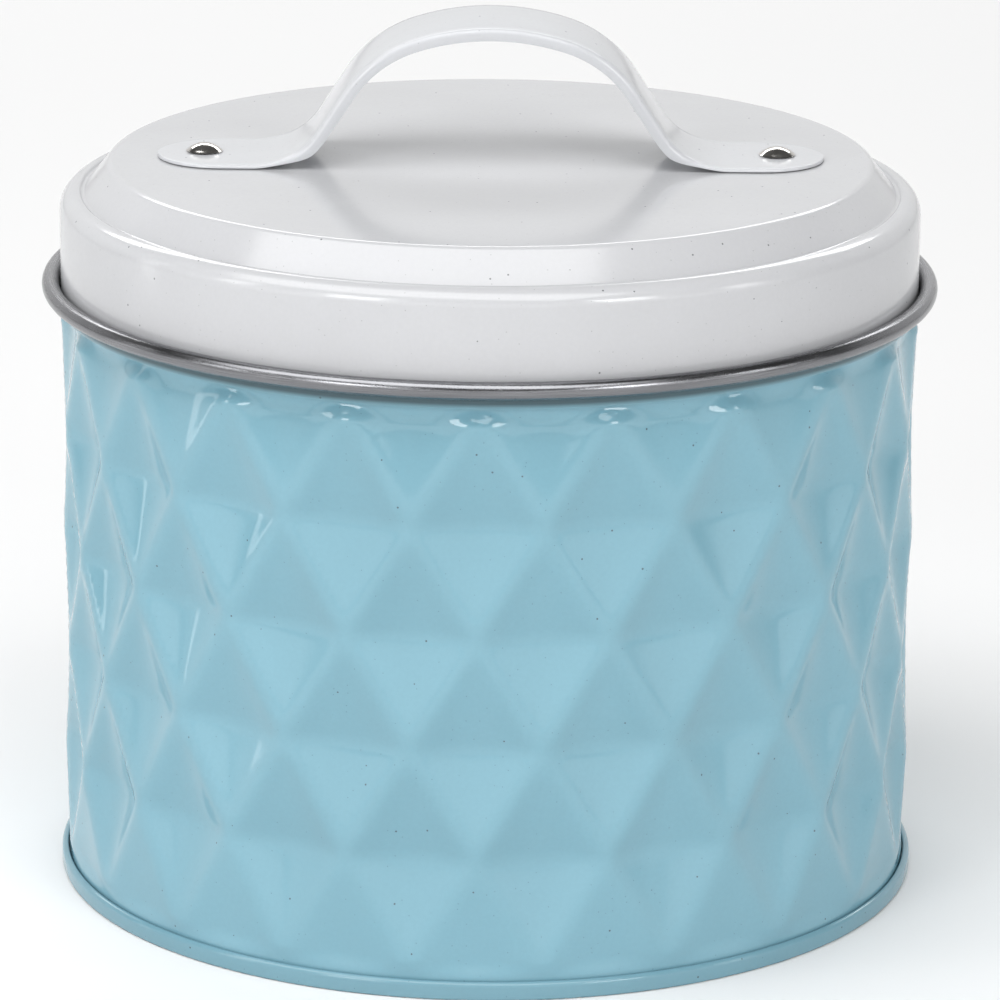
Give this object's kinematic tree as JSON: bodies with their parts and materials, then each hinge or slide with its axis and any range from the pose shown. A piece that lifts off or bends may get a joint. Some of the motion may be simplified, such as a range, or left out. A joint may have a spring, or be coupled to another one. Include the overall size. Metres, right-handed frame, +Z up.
{
  "type": "cookie tin",
  "caption": "Round metal storage tin with a diamond-embossed enamelled body, a plug lid and an arched strap handle riveted to the lid.",
  "frame": {"origin": "centre of the ring that the tin stands on", "axes": "+Z up along the tin's axis, +X along the handle, -Y towards the front"},
  "size_m": [0.16, 0.16, 0.1562],
  "materials": {
    "blue_enamel": "gloss pale blue enamel outside, bare tinplate inside and on the rolled rim",
    "white_enamel": "gloss white enamel outside, bare tinplate under the lid",
    "nickel": "polished nickel plate"
  },
  "bodies": {
    "tin": {"body_shell": "blue_enamel", "bottom_end": "blue_enamel"},
    "lid": {"lid_shell": "white_enamel", "handle_strap": "white_enamel", "rivet_left": "nickel", "rivet_right": "nickel"}
  },
  "joints": [
    {"name": "lid_lift", "type": "slide", "parent": "tin", "child": "lid", "axis": [0, 0, 1], "range_m": [0, 0.06]}
  ]
}
